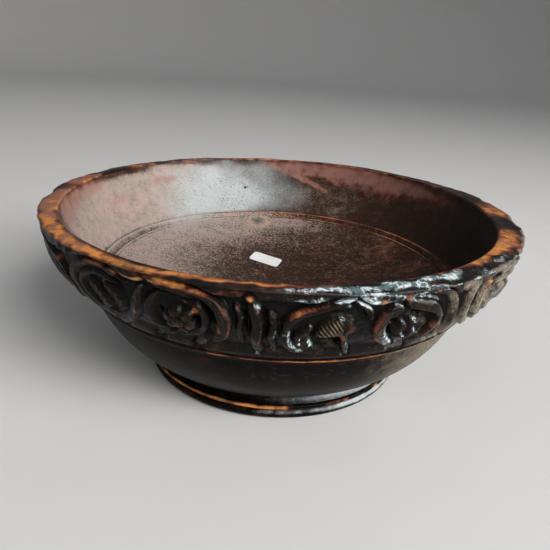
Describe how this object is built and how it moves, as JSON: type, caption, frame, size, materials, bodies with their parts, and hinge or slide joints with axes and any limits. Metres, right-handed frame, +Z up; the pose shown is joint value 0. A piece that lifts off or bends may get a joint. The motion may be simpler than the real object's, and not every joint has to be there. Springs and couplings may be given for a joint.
{
  "type": "carved wooden bowl",
  "caption": "Round footed wooden bowl with a dished hollow, a deep-carved band of vine scrolls and flowers below a worn rim, and a small blank paper label on its floor.",
  "frame": {"origin": "Centre of the plane the foot rests on, on the bowl's vertical axis.", "axes": "+Z points up out of the hollow. +X is the bowl's right and its longer rim axis, and the side with the carving seen from the front faces -Y."},
  "size_m": [0.3, 0.2879, 0.111],
  "materials": {
    "dark_wood": "old dark varnish, semi-gloss, worn to bare orange-brown wood on the edges",
    "foot_wood": "old dark varnish, semi-gloss, worn on the bead",
    "label_paper": "matt white, blank"
  },
  "bodies": {
    "root": {"bowl_body": "dark_wood", "foot_ring": "foot_wood", "paper_label": "label_paper"}
  },
  "joints": []
}
